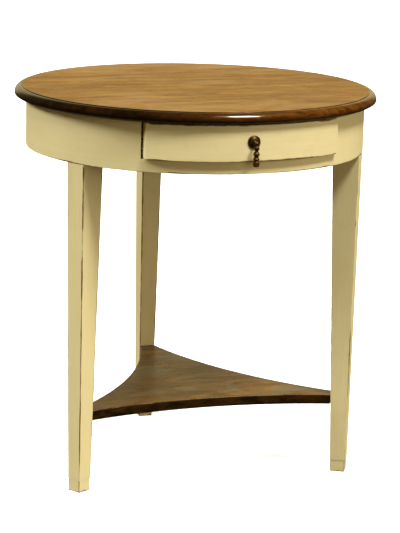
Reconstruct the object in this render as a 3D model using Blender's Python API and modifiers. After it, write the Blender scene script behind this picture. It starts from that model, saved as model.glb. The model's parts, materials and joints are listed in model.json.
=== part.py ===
"""Round side table with a bow-front drawer, three tapered legs and a low three-cornered shelf.

Metres, +Z up. The origin is on the floor at the table's axis, and the drawer faces -Y.
Angles round the table are degrees from the front (-Y) towards +X.
"""

import math

import bmesh
import bpy
from mathutils import Matrix, Vector

# Driving dimensions
HEIGHT = 0.696
TOP_RADIUS = 0.325
TOP_THICKNESS = 0.021
APRON_RADIUS = 0.304
APRON_THICKNESS = 0.022
APRON_BOTTOM = 0.5886
LEG_FACE_TOP, LEG_FACE_FLOOR = 0.3035, 0.2980  # distance of a leg's outer face from the axis
LEG_WIDTH_TOP, LEG_WIDTH_FLOOR = 0.0400, 0.0273
LEG_DEPTH_TOP, LEG_DEPTH_FLOOR = 0.0482, 0.0270
FOOT_HEIGHT = 0.022
SHELF_TOP, SHELF_THICKNESS = 0.1454, 0.018
SHELF_HOLLOW = 0.0317  # how far each side of the shelf curves in
CORNER_INSET = 0.0005  # how far a shelf corner or a foot stands in from the leg's faces
DRAWER_AJAR = 0.010  # how far out the drawer stands at rest
DRAWER_SIDEWAYS = 0.001  # how far it stands towards +X in its opening

# Fits
GAP = 0.0003  # between pieces that touch
STEP_DEG = 3  # every turned piece has a vertex at each multiple of this
FAR = 0.5  # past every piece in any level direction
BAND = (0.5, 0.8)  # heights between which the apron, the drawer and the top all lie

# Places that follow from them
UNDERSIDE = HEIGHT - TOP_THICKNESS
APRON_INSIDE = APRON_RADIUS - APRON_THICKNESS
FRAME_TOP = UNDERSIDE - GAP
LEG_ANGLES = {"left": -60, "right": 60, "rear": 180}

# Top: edge-glued boards with a quirk and an ovolo worked on the edge
BOARD_NAMES = ("front", "mid_front", "middle", "mid_back", "back")
BOARD_WIDTH = 2 * TOP_RADIUS / len(BOARD_NAMES)
QUIRK_RADIUS, QUIRK_DEPTH = 0.3125, 0.0012
NOSE_LEVEL = HEIGHT - 0.014  # where the moulding is widest
MOULDING_FOOT_RADIUS = 0.3110

# Drawer opening and drawer
RAIL_HEIGHT = 0.022
RAIL_TOP = APRON_BOTTOM + RAIL_HEIGHT
OPENING_HALF = 0.1750
FRONT_HALF = 0.1725
FRONT_THICKNESS = 0.020
FRONT_BOTTOM, FRONT_TOP = RAIL_TOP + 0.001, UNDERSIDE - 0.0015
FRONT_INSIDE = APRON_RADIUS - FRONT_THICKNESS
SIDE_OUTSIDE, SIDE_INSIDE = 0.1723, 0.1603
SIDE_BOTTOM, SIDE_TOP = RAIL_TOP + GAP, 0.6640
SIDE_FRONT = -0.28  # as cut, before the curve of the front is taken off
DRAWER_REAR = 0.100
BACK_THICKNESS = 0.010
GROOVE_DEPTH = 0.0045
PANEL_BOTTOM, PANEL_TOP = 0.6170, 0.6225
TAIL_LEVELS = (0.6340, 0.6540)
TAIL_ROOT, TAIL_TIP = 0.0045, 0.0065  # half-heights of a dovetail
TAIL_START, TAIL_END = -0.2200, -0.2385

# Pull: its centre on the drawer front, and the hinge ahead of it
PULL_SIDEWAYS, PULL_LEVEL = 0.001, 0.6452
HINGE_REACH = 0.0135
EYE_HOLE, WIRE = 0.0012, 0.0008
SHANK = 0.0020


# ---------------------------------------------------------------- scene and materials

def clear_scene():
    for obj in list(bpy.data.objects):
        bpy.data.objects.remove(obj, do_unlink=True)


def new_collection(name):
    collection = bpy.data.collections.new(name)
    bpy.context.scene.collection.children.link(collection)
    return collection


def new_material(name, colour, roughness, metallic=0.0):
    material = bpy.data.materials.new(name)
    material.use_nodes = True
    shader = material.node_tree.nodes["Principled BSDF"]
    shader.inputs["Base Color"].default_value = (*colour, 1.0)
    shader.inputs["Roughness"].default_value = roughness
    shader.inputs["Metallic"].default_value = metallic
    material.diffuse_color = (*colour, 1.0)
    return material


clear_scene()
PARTS = new_collection("round_side_table")
CUTTERS = new_collection("cutters")
CREAM_PAINT = new_material("cream_paint", (0.78, 0.70, 0.46), 0.55)
STAINED_TOP = new_material("stained_top", (0.36, 0.20, 0.08), 0.35)
DARK_SHELF = new_material("dark_shelf", (0.12, 0.06, 0.03), 0.45)
BARE_WOOD = new_material("bare_wood", (0.50, 0.34, 0.18), 0.70)
AGED_BRASS = new_material("aged_brass", (0.20, 0.12, 0.05), 0.45, 0.9)
SCREW_STEEL = new_material("screw_steel", (0.35, 0.34, 0.33), 0.40, 1.0)


# ---------------------------------------------------------------- shared makers

def add_object(name, mesh, material=None, parent=None):
    """A part where a material is given, or else a cutter."""
    obj = bpy.data.objects.new(name, mesh)
    obj.parent = parent
    if material:
        PARTS.objects.link(obj)
        mesh.materials.append(material)
    else:
        CUTTERS.objects.link(obj)
        obj.hide_render = True
        obj.display_type = "WIRE"
    return obj


def add_empty(name, location=(0, 0, 0), turn=0.0, parent=None):
    """A frame to hang pieces on, turned about the vertical to an angle round the table."""
    empty = bpy.data.objects.new(name, None)
    empty.location = location
    empty.rotation_euler.z = math.radians(turn)
    empty.parent = parent
    PARTS.objects.link(empty)
    return empty


def boolean(obj, operation, others):
    for other in others:
        modifier = obj.modifiers.new(f"{operation.lower()}_{other.name}", "BOOLEAN")
        modifier.operation = operation
        modifier.object = other
        modifier.solver = "EXACT"
    return obj


def cut(obj, *cutters):
    return boolean(obj, "DIFFERENCE", cutters)


def keep(obj, *shapes):
    return boolean(obj, "INTERSECT", shapes)


def join(obj, *shapes):
    return boolean(obj, "UNION", shapes)


def flatten(obj):
    """Merges the coplanar faces that a cut leaves."""
    modifier = obj.modifiers.new("flatten", "DECIMATE")
    modifier.decimate_type = "DISSOLVE"
    modifier.angle_limit = math.radians(0.3)
    return obj


def ease_edges(obj, width, segments=2):
    modifier = obj.modifiers.new("eased_edges", "BEVEL")
    modifier.width = width
    modifier.segments = segments
    modifier.limit_method = "ANGLE"
    modifier.angle_limit = math.radians(40)
    return obj


def box(name, low, high, material=None, parent=None):
    """A box between two corners, with its origin at its centre."""
    low, high = Vector(low), Vector(high)
    bm = bmesh.new()
    bmesh.ops.create_cube(bm, size=1.0)
    bmesh.ops.scale(bm, vec=high - low, verts=bm.verts)
    mesh = bpy.data.meshes.new(name)
    bm.to_mesh(mesh)
    bm.free()
    obj = add_object(name, mesh, material, parent)
    obj.location = (low + high) / 2
    return obj


def turned(name, profile, material=None, parent=None, closed=False, steps=360 // STEP_DEG):
    """A profile of (radius, height) points, run down its outer side, turned about the vertical."""
    mesh = bpy.data.meshes.new(name)
    points = [(radius, 0.0, height) for radius, height in profile]
    edges = [(i, i + 1) for i in range(len(points) - 1)]
    if closed:
        edges.append((len(points) - 1, 0))
    mesh.from_pydata(points, edges, [])
    obj = add_object(name, mesh, material, parent)
    screw = obj.modifiers.new("turn", "SCREW")
    screw.axis = "Z"
    screw.angle = math.tau
    screw.steps = screw.render_steps = steps
    screw.use_merge_vertices = True
    screw.merge_threshold = 0.0001
    screw.use_smooth_shade = True
    return obj


def ring(name, inside, outside, bottom, top, material=None, parent=None, steps=360 // STEP_DEG):
    profile = [(inside, top), (outside, top), (outside, bottom), (inside, bottom)]
    return turned(name, profile, material, parent, closed=True, steps=steps)


def drum(name, radius, bottom, top, material=None, parent=None, steps=360 // STEP_DEG):
    profile = [(0.0, top), (radius, top), (radius, bottom), (0.0, bottom)]
    return turned(name, profile, material, parent, steps=steps)


def plate(name, outline, bottom, top, material=None, parent=None):
    """A flat outline of (x, y) points made solid between two heights."""
    curve = bpy.data.curves.new(name, "CURVE")
    curve.dimensions = "2D"
    curve.fill_mode = "BOTH"
    curve.extrude = (top - bottom) / 2
    spline = curve.splines.new("POLY")
    spline.points.add(len(outline) - 1)
    for point, (x, y) in zip(spline.points, outline):
        point.co = (x, y, 0.0, 1.0)
    spline.use_cyclic_u = True
    obj = curve_to_mesh(name, curve, material, parent)
    obj.location.z = (top + bottom) / 2
    return obj


def rod(name, points, radius, material=None, parent=None):
    """A round wire through the points, with closed ends."""
    curve = bpy.data.curves.new(name, "CURVE")
    curve.dimensions = "3D"
    curve.bevel_depth = radius
    curve.bevel_resolution = 2
    curve.use_fill_caps = True
    spline = curve.splines.new("POLY")
    spline.points.add(len(points) - 1)
    for point, place in zip(spline.points, points):
        point.co = (*place, 1.0)
    return curve_to_mesh(name, curve, material, parent)


def curve_to_mesh(name, curve, material, parent):
    """The curve as a welded mesh, so that it can cut and be cut."""
    source = bpy.data.objects.new(name, curve)
    bpy.context.scene.collection.objects.link(source)
    graph = bpy.context.evaluated_depsgraph_get()
    mesh = bpy.data.meshes.new_from_object(source.evaluated_get(graph))
    bpy.data.objects.remove(source)
    bm = bmesh.new()
    bm.from_mesh(mesh)
    bmesh.ops.remove_doubles(bm, verts=bm.verts, dist=1e-5)
    bmesh.ops.recalc_face_normals(bm, faces=bm.faces)
    bm.to_mesh(mesh)
    bm.free()
    mesh.materials.clear()
    return add_object(name, mesh, material, parent)


def arc_point(radius, degrees):
    """A point at this angle round the table."""
    angle = math.radians(degrees)
    return (radius * math.sin(angle), -radius * math.cos(angle))


def sector(name, start, end):
    """A wedge between two angles, over the whole height, half a gap short at each side."""
    middle = (start + end) / 2
    tip = Vector(arc_point(GAP / 2 / math.sin(math.radians((end - start) / 2)), middle))
    angles = [start + (end - start) * i / 4 for i in range(5)]
    outline = [tip] + [Vector(arc_point(FAR, angle)) + tip for angle in angles]
    return plate(name, [tuple(point) for point in outline], 0.0, HEIGHT)


# ---------------------------------------------------------------- top

def top_profile():
    """From the centre of the face, over the quirk and the ovolo, to the centre of the underside."""
    across = TOP_RADIUS - QUIRK_RADIUS
    rise = HEIGHT - QUIRK_DEPTH - NOSE_LEVEL
    fall = NOSE_LEVEL - UNDERSIDE - 0.001
    profile = [(0.0, HEIGHT), (QUIRK_RADIUS, HEIGHT), (QUIRK_RADIUS, HEIGHT - QUIRK_DEPTH)]
    for degrees in (75, 55, 35, 15, 0, -25, -50):
        angle = math.radians(degrees)
        height = rise if degrees > 0 else fall
        profile.append((QUIRK_RADIUS + across * math.cos(angle),
                        NOSE_LEVEL + height * math.sin(angle)))
    return profile + [(MOULDING_FOOT_RADIUS, UNDERSIDE), (0.0, UNDERSIDE)]


def make_top(screw_holes):
    """screw_holes are pairs of a cutter and the Y place where it goes into the top."""
    for index, place in enumerate(BOARD_NAMES):
        front = -TOP_RADIUS + index * BOARD_WIDTH
        rear = front + BOARD_WIDTH
        strip = box(f"strip_{place}", (-FAR, front + GAP / 2, BAND[0]), (FAR, rear - GAP / 2, BAND[1]))
        board = keep(turned(f"top_board_{place}", top_profile(), STAINED_TOP), strip)
        cut(board, *(hole for hole, y in screw_holes if front < y < rear))
        flatten(board)


# ---------------------------------------------------------------- apron

def make_apron(screw_holes):
    """Two side segments, two front stiles and the rail under the drawer."""
    rail_half = OPENING_HALF - GAP
    opening = box("opening", (-OPENING_HALF, -FAR, BAND[0]), (OPENING_HALF, 0.0, BAND[1]))
    rail_space = box("rail_space", (-rail_half, -FAR, BAND[0]), (rail_half, 0.0, BAND[1]))
    spans = {"apron_left": (-180, -60), "apron_right": (60, 180),
             "front_stile_left": (-60, 0), "front_stile_right": (0, 60)}
    for name, (start, end) in spans.items():
        piece = ring(name, APRON_INSIDE, APRON_RADIUS, APRON_BOTTOM, FRAME_TOP, CREAM_PAINT)
        keep(piece, sector(f"sector_{name}", start, end))
        if "stile" in name:
            cut(piece, opening)
        cut(piece, *screw_holes[name])
        flatten(piece)
    rail = ring("drawer_rail", APRON_INSIDE, APRON_RADIUS, APRON_BOTTOM, RAIL_TOP, CREAM_PAINT)
    flatten(keep(rail, rail_space))


# ---------------------------------------------------------------- legs, feet and their fixings

def leg_size(height):
    """(outer face, width, depth) of a leg at this height."""
    share = min(height / APRON_BOTTOM, 1.0)
    return (LEG_FACE_FLOOR + (LEG_FACE_TOP - LEG_FACE_FLOOR) * share,
            LEG_WIDTH_FLOOR + (LEG_WIDTH_TOP - LEG_WIDTH_FLOOR) * share,
            LEG_DEPTH_FLOOR + (LEG_DEPTH_TOP - LEG_DEPTH_FLOOR) * share)


def tapered_post(name, levels, inset, material, parent):
    """A square post that faces -Y, with a section of a leg at each level."""
    bm = bmesh.new()
    bmesh.ops.create_cube(bm, size=1.0)
    for index in range(1, len(levels) - 1):
        cut_height = -0.5 + index / (len(levels) - 1)
        geometry = bm.verts[:] + bm.edges[:] + bm.faces[:]
        bmesh.ops.bisect_plane(bm, geom=geometry, plane_co=(0, 0, cut_height), plane_no=(0, 0, 1))
    for vertex in bm.verts:
        height = levels[round((vertex.co.z + 0.5) * (len(levels) - 1))]
        face, width, depth = leg_size(height)
        side = math.copysign(width / 2 - inset, vertex.co.x)
        back = -face + inset if vertex.co.y < 0 else -face + depth - inset
        vertex.co = (side, back, height)
    mesh = bpy.data.meshes.new(name)
    bm.to_mesh(mesh)
    bm.free()
    return add_object(name, mesh, material, parent)


def across_hole(name, radius, start, end, x, height, parent, steps=16):
    """A round cutter along Y, from start to end, in the parent's frame."""
    cutter = drum(name, radius, 0.0, end - start, parent=parent, steps=steps)
    cutter.rotation_euler.x = -math.pi / 2
    cutter.location = (x, start, height)
    return cutter


def wood_screw(name, length, parent, shank=0.0021, head=0.0042):
    """A round-headed screw whose shank runs up +Z from the underside of its head."""
    profile = [(0.0, length), (shank, length - 2 * shank), (shank, 0.0), (head, 0.0),
               (head * 0.85, -0.0016), (head * 0.45, -0.0024), (0.0, -0.0026)]
    return turned(name, profile, SCREW_STEEL, parent, steps=16)


LEG_SCREWS = {"upper": (-0.011, 0.6500), "lower": (0.011, 0.6140)}  # sideways place and height
LEG_SCREW_LENGTH = 0.036
SCREW_HOLE = 0.0024
DOWEL_RADIUS, DOWEL_HALF = 0.004, 0.015
DOWEL_STEPS = 20


def make_legs():
    """Legs, feet, leg screws and shelf dowels. Returns the holes that they need elsewhere."""
    holes = {"apron_left": [], "apron_right": [], "front_stile_left": [], "front_stile_right": [],
             "shelf": []}
    neighbours = {"left": ("apron_left", "front_stile_left"),
                  "right": ("front_stile_right", "apron_right"),
                  "rear": ("apron_right", "apron_left")}
    rebate = ring("leg_rebate", APRON_INSIDE - GAP, FAR, APRON_BOTTOM - GAP, BAND[1])
    for place, angle in LEG_ANGLES.items():
        station = add_empty(f"station_{place}", turn=angle)
        leg = tapered_post(f"leg_{place}", (FOOT_HEIGHT, APRON_BOTTOM, FRAME_TOP), 0.0,
                           CREAM_PAINT, station)
        ease_edges(cut(leg, rebate), 0.0010)
        foot = tapered_post(f"foot_{place}", (0.0, FOOT_HEIGHT - GAP), CORNER_INSET, CREAM_PAINT,
                            station)
        ease_edges(foot, 0.0008)

        inner_face = -LEG_FACE_TOP + LEG_DEPTH_TOP
        for (level, (side, height)), hit in zip(LEG_SCREWS.items(), neighbours[place]):
            name = f"leg_screw_{place}_{level}"
            screw = wood_screw(name, LEG_SCREW_LENGTH, station)
            screw.location = (side, inner_face + GAP, height)
            screw.rotation_euler.x = math.pi / 2
            hole = across_hole(f"hole_{name}", SCREW_HOLE, inner_face - LEG_SCREW_LENGTH - 0.0005,
                               inner_face + 0.01, side, height, station)
            cut(leg, hole)
            holes[hit].append(hole)

        face, _, depth = leg_size(SHELF_TOP)
        joint = -face + depth
        middle = SHELF_TOP - SHELF_THICKNESS / 2
        dowel = drum(f"shelf_dowel_{place}", DOWEL_RADIUS, 0.0, 2 * DOWEL_HALF, BARE_WOOD,
                     station, DOWEL_STEPS)
        dowel.rotation_euler.x = -math.pi / 2
        dowel.location = (0.0, joint - DOWEL_HALF, middle)
        hole = across_hole(f"hole_dowel_{place}", DOWEL_RADIUS + GAP, joint - DOWEL_HALF - GAP,
                           joint + DOWEL_HALF + GAP, 0.0, middle, station, DOWEL_STEPS)
        cut(leg, hole)
        holes["shelf"].append((hole, place))
        flatten(leg)
    return holes


# ---------------------------------------------------------------- shelf

def hollow_side(start, end, depth, count=14):
    """Points from start to end along an arc that curves in towards the axis."""
    start, end = Vector(start), Vector(end)
    middle = (start + end) / 2
    half = (end - start).length / 2
    radius = (half ** 2 + depth ** 2) / (2 * depth)
    along, inward = (end - start).normalized(), -middle.normalized()
    reach = math.asin(half / radius)
    points = []
    for index in range(count):
        angle = reach * (2 * index / (count - 1) - 1)
        dip = depth - radius * (1 - math.cos(angle))
        points.append(tuple(middle + along * radius * math.sin(angle) + inward * dip))
    return points


SHELF_LEGS = {"front": ("left", "right"), "middle": (), "back": ("rear",)}  # legs each board meets


def make_shelf(holes):
    """Three boards that meet the legs' inner faces with flat corners."""
    face, width, depth = leg_size(SHELF_TOP)
    reach, half = face - depth - GAP, width / 2 - CORNER_INSET
    corners = {}
    for place, angle in LEG_ANGLES.items():
        turn = Matrix.Rotation(math.radians(angle), 2)
        corners[place] = [tuple(turn @ Vector((side, -reach))) for side in (-half, half)]
    outline = []
    order = ("left", "right", "rear")
    for place, following in zip(order, order[1:] + order[:1]):
        outline += hollow_side(corners[place][1], corners[following][0], SHELF_HOLLOW)

    first = min(y for _, y in outline)
    width = (reach - first) / len(SHELF_LEGS)
    for index, (place, legs) in enumerate(SHELF_LEGS.items()):
        front = -FAR if index == 0 else first + index * width + GAP / 2
        rear = FAR if place == "back" else first + (index + 1) * width - GAP / 2
        strip = box(f"strip_shelf_{place}", (-FAR, front, 0.0), (FAR, rear, BAND[0]))
        piece = plate(f"shelf_board_{place}", outline, SHELF_TOP - SHELF_THICKNESS, SHELF_TOP,
                      DARK_SHELF)
        ease_edges(keep(piece, strip), 0.0012)
        cut(piece, *(hole for hole, leg in holes if leg in legs))
        flatten(piece)


# ---------------------------------------------------------------- fixings of the top, and drawer supports

BLOCK_ANGLES = {"left_front": -96, "left_back": -147, "right_front": 96, "right_back": 147}
BLOCK_LENGTH, BLOCK_DEPTH, BLOCK_HEIGHT = 0.050, 0.024, 0.028
TOP_SCREW_BITE = 0.012  # how far a screw goes up into the top
KICKER_BOTTOM = SIDE_TOP + 0.001
KICKER_SCREW_X, KICKER_SCREW_Y = 0.162, -0.120
KICKER_RECESS = 0.0035  # deep enough to hide a screw's head

# Strips on each side of the drawer: |x| from and to, y from and to, z from and to
STRIPS = {
    "drawer_runner": (0.150, 0.190, -0.28, 0.28, RAIL_TOP - 0.020, RAIL_TOP),
    "drawer_guide": (0.1745, 0.1865, -0.205, 0.150, RAIL_TOP + GAP, RAIL_TOP + 0.018),
    "drawer_stop": (0.152, 0.172, DRAWER_REAR + GAP, DRAWER_REAR + 0.020, RAIL_TOP + GAP,
                    RAIL_TOP + 0.018),
    "drawer_kicker": (0.150, 0.1745, -0.215, 0.150, KICKER_BOTTOM, FRAME_TOP),
}


def top_screw(name, x, y, seat, parent=None):
    """A screw up into the top, its head under the seat. Returns the hole that it needs."""
    screw = wood_screw(name, UNDERSIDE + TOP_SCREW_BITE - seat, parent)
    screw.location = (x, y, seat - GAP)
    hole = drum(f"hole_{name}", SCREW_HOLE, seat - 0.005, UNDERSIDE + TOP_SCREW_BITE + 0.0005,
                parent=parent, steps=16)
    hole.location = (x, y, 0.0)
    return hole


def make_supports():
    """Glue blocks, runners, guides, kickers and stops. Returns the holes in the top as (cutter, y)."""
    inside_apron = drum("inside_apron", APRON_INSIDE - GAP, *BAND)
    holes = []
    block_centre = -APRON_INSIDE + BLOCK_DEPTH / 2
    for place, angle in BLOCK_ANGLES.items():
        station = add_empty(f"block_station_{place}", turn=angle)
        block = box(f"glue_block_{place}",
                    (-BLOCK_LENGTH / 2, -APRON_INSIDE - 0.004, FRAME_TOP - BLOCK_HEIGHT),
                    (BLOCK_LENGTH / 2, -APRON_INSIDE + BLOCK_DEPTH, FRAME_TOP), BARE_WOOD, station)
        keep(block, inside_apron)
        hole = top_screw(f"top_screw_{place}", 0.0, block_centre, FRAME_TOP - BLOCK_HEIGHT, station)
        cut(block, hole)
        flatten(block)
        holes.append((hole, math.cos(math.radians(angle)) * block_centre))

    for place, side in (("left", -1), ("right", 1)):
        strips = {}
        for name, (inner, outer, front, rear, bottom, top) in STRIPS.items():
            near, far = sorted((side * inner, side * outer))
            strips[name] = box(f"{name}_{place}", (near, front, bottom), (far, rear, top), BARE_WOOD)
        flatten(keep(strips["drawer_runner"], inside_apron))
        recess = drum(f"recess_kicker_{place}", 0.0050, KICKER_BOTTOM - 0.001,
                      KICKER_BOTTOM + KICKER_RECESS, steps=16)
        recess.location = (side * KICKER_SCREW_X, KICKER_SCREW_Y, 0.0)
        hole = top_screw(f"top_screw_{place}_kicker", side * KICKER_SCREW_X, KICKER_SCREW_Y,
                         KICKER_BOTTOM + KICKER_RECESS)
        flatten(cut(strips["drawer_kicker"], hole, recess))
        holes.append((hole, KICKER_SCREW_Y))
    return holes


# ---------------------------------------------------------------- drawer

def tail(name, level, grow, side, parent):
    """A dovetail on the end of a drawer side, or with grow above 0 the socket for it.
    The socket runs out through the end of the drawer front."""
    root, tip = TAIL_ROOT + grow, TAIL_TIP + grow
    outline = [(TAIL_START + 5 * grow, level - root), (TAIL_START + 5 * grow, level + root),
               (TAIL_END - grow, level + tip), (TAIL_END - grow, level - tip)]
    inner, outer = SIDE_INSIDE - grow, SIDE_OUTSIDE + 20 * grow
    near, far = sorted((side * inner, side * outer))
    shape = plate(name, outline, 0.0, far - near, parent=parent)
    shape.rotation_euler = (math.pi / 2, 0.0, math.pi / 2)
    shape.location = ((near + far) / 2, 0.0, 0.0)
    return shape


def panel_shape(name, grow, rear, material, parent):
    """The drawer bottom with its curved front edge, or with grow above 0 the groove for it."""
    half = SIDE_INSIDE + GROOVE_DEPTH - GAP + grow
    bent = drum(f"bent_{name}", FRONT_INSIDE + GROOVE_DEPTH - GAP + grow, *BAND, parent=parent)
    slab = box(name, (-half, -APRON_RADIUS, PANEL_BOTTOM - grow), (half, rear, PANEL_TOP + grow),
               material, parent)
    return keep(slab, bent)


def make_drawer():
    slide = add_empty("drawer_slide", (DRAWER_SIDEWAYS, -DRAWER_AJAR, 0.0))
    behind_front = drum("behind_front", FRONT_INSIDE - GAP, *BAND, parent=slide)
    groove = panel_shape("panel_groove", GAP, FAR, None, slide)

    front = ring("drawer_front", FRONT_INSIDE, APRON_RADIUS, FRONT_BOTTOM, FRONT_TOP,
                 CREAM_PAINT, slide)
    front_space = box("front_space", (-FRONT_HALF, -FAR, BAND[0]), (FRONT_HALF, 0.0, BAND[1]),
                      parent=slide)
    keep(front, front_space)
    cut(front, groove)

    for place, side in (("left", -1), ("right", 1)):
        near, far = sorted((side * SIDE_INSIDE, side * SIDE_OUTSIDE))
        board = box(f"drawer_side_{place}", (near, SIDE_FRONT, SIDE_BOTTOM),
                    (far, DRAWER_REAR, SIDE_TOP), BARE_WOOD, slide)
        keep(board, behind_front)
        cut(board, groove)
        for index, level in enumerate(TAIL_LEVELS):
            name = f"{place}_{index}"
            join(board, tail(f"tail_{name}", level, 0.0, side, slide))
            cut(front, tail(f"socket_{name}", level, GAP, side, slide))
        flatten(board)

    inner = SIDE_INSIDE - GAP
    box("drawer_back", (-inner, DRAWER_REAR - BACK_THICKNESS, PANEL_TOP + 2 * GAP),
        (inner, DRAWER_REAR, SIDE_TOP - 0.002), BARE_WOOD, slide)
    flatten(panel_shape("drawer_bottom", 0.0, DRAWER_REAR, BARE_WOOD, slide))

    pull = add_empty("pull_station", (PULL_SIDEWAYS, -APRON_RADIUS, PULL_LEVEL), parent=slide)
    pull.rotation_euler.x = math.pi / 2
    cut(front, make_pull(pull))
    flatten(front)


# ---------------------------------------------------------------- pull

EYE_RADIUS, EYE_HALF = 0.0030, 0.0020  # of the flattened ball at the post's end
SHANK_END = -FRONT_THICKNESS - 0.0080
WASHER_RADIUS, WASHER_THICKNESS = 0.0060, 0.0012
NUT_RADIUS, NUT_THICKNESS = 0.0042, 0.0032


def round_points(centre, across, along, degrees):
    """Points of an ellipse on the axis: centre is its height, and the angles run from its top."""
    return [(across * math.sin(math.radians(a)), centre + along * math.cos(math.radians(a)))
            for a in degrees]


def make_pull(station):
    """Backplate, eyed post, washer and nut, and the hanging drop. +Z of the station points out
    of the drawer. Returns the hole for the post's shank."""
    hole_radius = SHANK + GAP
    plate_profile = [(hole_radius, 0.0042), (0.0042, 0.0042), (0.0068, 0.0036), (0.0088, 0.0024),
                     (0.0093, 0.0018), (0.0100, 0.0020), (0.0109, 0.0017), (0.0113, 0.0010),
                     (0.0113, GAP), (hole_radius, GAP)]
    turned("pull_backplate", plate_profile, AGED_BRASS, station, closed=True, steps=36)

    eye = round_points(HINGE_REACH, EYE_RADIUS, EYE_RADIUS, (0, 25, 50, 75, 100, 125, 143))
    post_profile = eye + [(0.0018, 0.0088), (0.0018, 0.0068), (0.0034, 0.0058), (0.0036, 0.0045),
                          (SHANK, 0.0045), (SHANK, SHANK_END + 0.0006),
                          (SHANK - 0.0006, SHANK_END), (0.0, SHANK_END)]
    post = turned("pull_post", post_profile, AGED_BRASS, station, steps=24)
    for side in (-1, 1):
        near, far = sorted((side * EYE_HALF, side * 0.01))
        cut(post, box(f"eye_side_{side}", (near, -0.01, HINGE_REACH - EYE_RADIUS - 0.0005),
                      (far, 0.01, HINGE_REACH + EYE_RADIUS + 0.0005), parent=station))
    eye_hole = drum("eye_hole", EYE_HOLE, -0.01, 0.01, parent=station, steps=16)
    eye_hole.rotation_euler.y = math.pi / 2
    eye_hole.location.z = HINGE_REACH
    flatten(cut(post, eye_hole))

    washer_top = -FRONT_THICKNESS - 2 * GAP
    washer_foot = washer_top - WASHER_THICKNESS
    ring("pull_washer", hole_radius, WASHER_RADIUS, washer_foot, washer_top, SCREW_STEEL, station,
         steps=24)
    nut_top = washer_foot - GAP
    nut = drum("pull_nut", NUT_RADIUS, nut_top - NUT_THICKNESS, nut_top, AGED_BRASS, station, 6)
    flatten(cut(nut, drum("nut_hole", hole_radius, -0.05, -0.01, parent=station, steps=24)))
    make_drop(station)
    return drum("shank_hole", hole_radius, -0.03, 0.01, parent=station, steps=24)


def make_drop(station):
    """The hanging pendant. Its origin is on the hinge axis, and it hangs along its own -Z."""
    knob = round_points(-0.0084, 0.0050, 0.0046, range(0, 150, 20))
    neck = [(0.0027, -0.0130), (0.0034, -0.0136), (0.0031, -0.0142)]
    bead = round_points(-0.0184, 0.0055, 0.0050, (40, 60, 80, 100, 120, 135))
    small_bead = round_points(-0.0268, 0.0055, 0.0040, (50, 65, 80, 100, 120, 135))
    barrel = [(0.0045, -0.0304), (0.0054, -0.0312), (0.0057, -0.0332), (0.0057, -0.0366),
              (0.0053, -0.0384), (0.0042, -0.0397), (0.0024, -0.0402), (0.0, -0.0403)]
    drop = turned("pull_drop", knob + neck + bead + small_bead + barrel, AGED_BRASS, station,
                  steps=24)
    drop.location.z = HINGE_REACH
    drop.rotation_euler.x = -math.pi / 2

    half, corner = 0.0043, 0.0010
    right = [(half - corner + corner * math.sin(math.radians(a)), 0.0,
              -corner + corner * math.cos(math.radians(a))) for a in (0, 30, 60, 90)]
    right += [(half, 0.0, -0.0035), (0.0030, 0.0, -0.0075)]
    left = [(-x, y, z) for x, y, z in reversed(right)]
    loop = rod("drop_loop", left + right, WIRE, parent=drop)
    join(drop, loop)


# ---------------------------------------------------------------- the whole table

def main():
    holes = make_legs()
    make_apron(holes)
    make_shelf(holes["shelf"])
    make_top(make_supports())
    make_drawer()


main()
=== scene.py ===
"""Looks of the round side table: detailed pieces, materials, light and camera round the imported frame.

Metres, +Z up, the drawer faces -Y. Angles round the table are degrees from the front towards +X.
"""
import json
import math
import random

import bmesh
import bpy
from mathutils import Matrix, Vector, noise


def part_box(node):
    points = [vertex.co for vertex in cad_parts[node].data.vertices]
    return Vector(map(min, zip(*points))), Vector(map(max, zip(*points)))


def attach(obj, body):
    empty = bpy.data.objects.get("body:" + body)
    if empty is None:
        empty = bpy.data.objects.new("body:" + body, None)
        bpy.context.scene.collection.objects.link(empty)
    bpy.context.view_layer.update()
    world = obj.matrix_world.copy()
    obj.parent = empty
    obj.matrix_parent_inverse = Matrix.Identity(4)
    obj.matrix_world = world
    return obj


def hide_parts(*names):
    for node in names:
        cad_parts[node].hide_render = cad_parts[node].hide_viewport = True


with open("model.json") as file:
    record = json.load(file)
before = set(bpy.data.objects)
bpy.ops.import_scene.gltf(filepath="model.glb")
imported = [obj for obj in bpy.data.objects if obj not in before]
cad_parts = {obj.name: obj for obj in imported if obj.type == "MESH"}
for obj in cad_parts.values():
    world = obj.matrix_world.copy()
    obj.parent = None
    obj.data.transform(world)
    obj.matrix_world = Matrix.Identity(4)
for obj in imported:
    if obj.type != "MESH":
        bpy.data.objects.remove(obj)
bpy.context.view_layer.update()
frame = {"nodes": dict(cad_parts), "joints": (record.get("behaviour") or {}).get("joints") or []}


def low(node):
    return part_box(node)[0]


def high(node):
    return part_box(node)[1]


# ------ sizes, read from the frame or shared with it

HEIGHT, UNDERSIDE = high("top_board_middle").z, low("top_board_middle").z
TOP_RADIUS = high("top_board_middle").x
APRON_RADIUS = -low("apron_left").x
APRON_BOTTOM, APRON_TOP = low("apron_left").z, high("apron_left").z
RAIL_HALF, RAIL_TOP = high("drawer_rail").x, high("drawer_rail").z
FRONT_HALF = (high("drawer_front").x - low("drawer_front").x) / 2
DRAWER_SIDEWAYS = (high("drawer_front").x + low("drawer_front").x) / 2
FRONT_BOTTOM, FRONT_TOP = low("drawer_front").z, high("drawer_front").z
DRAWER_AJAR = -APRON_RADIUS - low("drawer_front").y
SHELF_BOTTOM, SHELF_TOP = low("shelf_board_front").z, high("shelf_board_front").z
FOOT_TOP = high("foot_rear").z

APRON_THICKNESS, FRONT_THICKNESS = 0.022, 0.020
GAP = 0.0003  # between pieces that touch
OPENING_HALF = RAIL_HALF + GAP
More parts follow.
